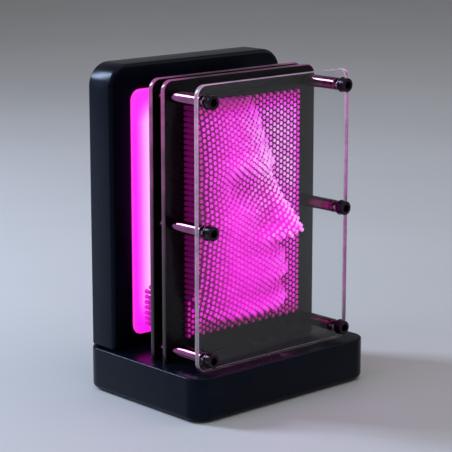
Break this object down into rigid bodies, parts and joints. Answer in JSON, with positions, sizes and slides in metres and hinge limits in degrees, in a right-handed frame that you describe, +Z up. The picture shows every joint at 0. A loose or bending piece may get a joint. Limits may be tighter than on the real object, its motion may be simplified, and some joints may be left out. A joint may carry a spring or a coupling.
{
  "type": "pin art impression toy",
  "caption": "Lit pin art toy: loose pins slide through two upright plates behind a clear cover, on a base with a glowing panel behind the pins.",
  "frame": {"origin": "on the table, under the middle of the base's footprint", "axes": "+Z up, the front with the clear cover faces -Y, +X to the viewer's right from the front"},
  "size_m": [0.15, 0.1106, 0.212],
  "materials": {
    "shell_plastic": "fine satin moulded plastic, black with a navy cast",
    "button_plastic": "glossy black, dished",
    "plate_acrylic": "polished black acrylic sheet",
    "clear_acrylic": "clear polished acrylic with bright cut edges",
    "pin_plastic": "translucent plastic lit from behind",
    "diffuser_acrylic": "opal acrylic, glowing magenta",
    "black_steel": "black-plated steel, polished",
    "rubber": "matte black rubber",
    "white_plastic": "matte white",
    "circuit_board": "green solder mask",
    "socket_steel": "drawn steel shell",
    "black_component": "matte black plastic"
  },
  "bodies": {
    "base": {"base_shell": "shell_plastic", "base_bottom_cover": "shell_plastic", "foot_1": "rubber", "foot_2": "rubber", "foot_3": "rubber", "foot_4": "rubber", "control_board": "circuit_board", "usb_socket": "socket_steel", "button_board": "circuit_board", "button_switch": "black_component", "light_housing": "shell_plastic", "housing_rear_cover": "shell_plastic", "diffuser": "diffuser_acrylic", "reflector_frame": "white_plastic", "led_board": "white_plastic", "led_lead": "black_component"},
    "power_button": {"power_button": "button_plastic"},
    "pin_frame": {"rear_pin_plate": "plate_acrylic", "front_pin_plate": "plate_acrylic", "clear_cover": "clear_acrylic", "cover_post_1": "black_steel", "plate_spacer_1": "black_steel", "cap_screw_1": "black_steel", "rear_nut_1": "black_steel", "cover_post_2": "black_steel", "plate_spacer_2": "black_steel", "cap_screw_2": "black_steel", "rear_nut_2": "black_steel", "cover_post_3": "black_steel", "plate_spacer_3": "black_steel", "cap_screw_3": "black_steel", "rear_nut_3": "black_steel", "cover_post_4": "black_steel", "plate_spacer_4": "black_steel", "cap_screw_4": "black_steel", "rear_nut_4": "black_steel", "cover_post_5": "black_steel", "plate_spacer_5": "black_steel", "cap_screw_5": "black_steel", "rear_nut_5": "black_steel", "cover_post_6": "black_steel", "plate_spacer_6": "black_steel", "cap_screw_6": "black_steel", "rear_nut_6": "black_steel"},
    "pin_slide_1": {"pin_group_1": "pin_plastic"},
    "pin_slide_2": {"pin_group_2": "pin_plastic"},
    "pin_slide_3": {"pin_group_3": "pin_plastic"},
    "pin_slide_4": {"pin_group_4": "pin_plastic"},
    "pin_slide_5": {"pin_group_5": "pin_plastic"},
    "pin_slide_6": {"pin_group_6": "pin_plastic"},
    "pin_slide_7": {"pin_group_7": "pin_plastic"},
    "pin_slide_8": {"pin_group_8": "pin_plastic"},
    "pin_slide_9": {"pin_group_9": "pin_plastic"},
    "pin_slide_10": {"pin_group_10": "pin_plastic"},
    "pin_slide_11": {"pin_group_11": "pin_plastic"},
    "pin_slide_12": {"pin_group_12": "pin_plastic"},
    "pin_slide_13": {"pin_group_13": "pin_plastic"},
    "pin_slide_14": {"pin_group_14": "pin_plastic"},
    "pin_slide_15": {"pin_group_15": "pin_plastic"}
  },
  "joints": [
    {"name": "frame_lift", "type": "slide", "parent": "base", "child": "pin_frame", "axis": [0, 0, 1], "range_m": [0, 0.05]},
    {"name": "button_press", "type": "slide", "parent": "base", "child": "power_button", "axis": [0, 0, -1], "range_m": [0, 0.0008], "stiffness_N_per_m": 600, "springref_m": -0.001},
    {"name": "pins_01_push", "type": "slide", "parent": "pin_frame", "child": "pin_slide_1", "axis": [0, -1, 0], "range_m": [0, 0.0238]},
    {"name": "pins_02_push", "type": "slide", "parent": "pin_frame", "child": "pin_slide_2", "axis": [0, -1, 0], "range_m": [-0.002, 0.0195]},
    {"name": "pins_03_push", "type": "slide", "parent": "pin_frame", "child": "pin_slide_3", "axis": [0, -1, 0], "range_m": [-0.003, 0.0176]},
    {"name": "pins_04_push", "type": "slide", "parent": "pin_frame", "child": "pin_slide_4", "axis": [0, -1, 0], "range_m": [-0.0035, 0.0168]},
    {"name": "pins_05_push", "type": "slide", "parent": "pin_frame", "child": "pin_slide_5", "axis": [0, -1, 0], "range_m": [-0.0049, 0.0167]},
    {"name": "pins_06_push", "type": "slide", "parent": "pin_frame", "child": "pin_slide_6", "axis": [0, -1, 0], "range_m": [-0.0057, 0.0167]},
    {"name": "pins_07_push", "type": "slide", "parent": "pin_frame", "child": "pin_slide_7", "axis": [0, -1, 0], "range_m": [-0.0054, 0.0136]},
    {"name": "pins_08_push", "type": "slide", "parent": "pin_frame", "child": "pin_slide_8", "axis": [0, -1, 0], "range_m": [-0.0077, 0.0138]},
    {"name": "pins_09_push", "type": "slide", "parent": "pin_frame", "child": "pin_slide_9", "axis": [0, -1, 0], "range_m": [-0.0079, 0.0139]},
    {"name": "pins_10_push", "type": "slide", "parent": "pin_frame", "child": "pin_slide_10", "axis": [0, -1, 0], "range_m": [-0.0083, 0.0137]},
    {"name": "pins_11_push", "type": "slide", "parent": "pin_frame", "child": "pin_slide_11", "axis": [0, -1, 0], "range_m": [-0.0108, 0.0107]},
    {"name": "pins_12_push", "type": "slide", "parent": "pin_frame", "child": "pin_slide_12", "axis": [0, -1, 0], "range_m": [-0.0137, 0.0079]},
    {"name": "pins_13_push", "type": "slide", "parent": "pin_frame", "child": "pin_slide_13", "axis": [0, -1, 0], "range_m": [-0.0167, 0.0064]},
    {"name": "pins_14_push", "type": "slide", "parent": "pin_frame", "child": "pin_slide_14", "axis": [0, -1, 0], "range_m": [-0.0161, 0.0049]},
    {"name": "pins_15_push", "type": "slide", "parent": "pin_frame", "child": "pin_slide_15", "axis": [0, -1, 0], "range_m": [-0.0172, 0.0024]}
  ]
}
